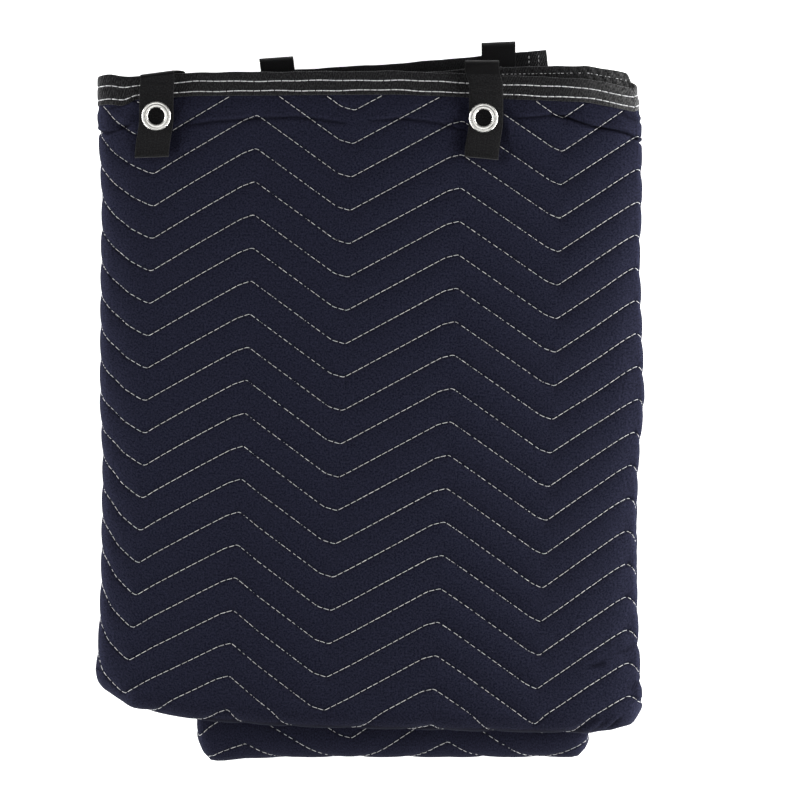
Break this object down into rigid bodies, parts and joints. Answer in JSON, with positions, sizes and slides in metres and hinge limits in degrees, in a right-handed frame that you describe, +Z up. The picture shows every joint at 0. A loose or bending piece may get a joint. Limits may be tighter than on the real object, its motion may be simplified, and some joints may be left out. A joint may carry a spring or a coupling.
{
  "type": "folded moving blanket",
  "caption": "Quilted cloth moving blanket folded into a flat stack, with bound edges, webbing tabs on the top hem and metal eyelets.",
  "frame": {"origin": "centre of the bounding box on the surface that the blanket lies on", "axes": "+Z up out of the front panel, +Y towards the hem with the tabs, +X to the right across the front panel"},
  "size_m": [0.5138, 0.6734, 0.0815],
  "materials": {
    "navy_quilt": "matte quilted cloth, navy face and neutral black reverse, raised chevron rows",
    "charcoal_tape": "matte woven charcoal tape",
    "black_webbing": "matte ribbed black webbing",
    "nickel": "bright plated metal"
  },
  "bodies": {
    "root": {"quilted_blanket": "navy_quilt", "top_binding": "charcoal_tape", "bottom_binding": "charcoal_tape", "side_binding_rear": "charcoal_tape", "side_binding_inner": "charcoal_tape", "front_tab_left": "black_webbing", "front_tab_right": "black_webbing", "rear_tab_left": "black_webbing", "rear_tab_right": "black_webbing", "front_eyelet_left": "nickel", "front_eyelet_right": "nickel"}
  },
  "joints": []
}
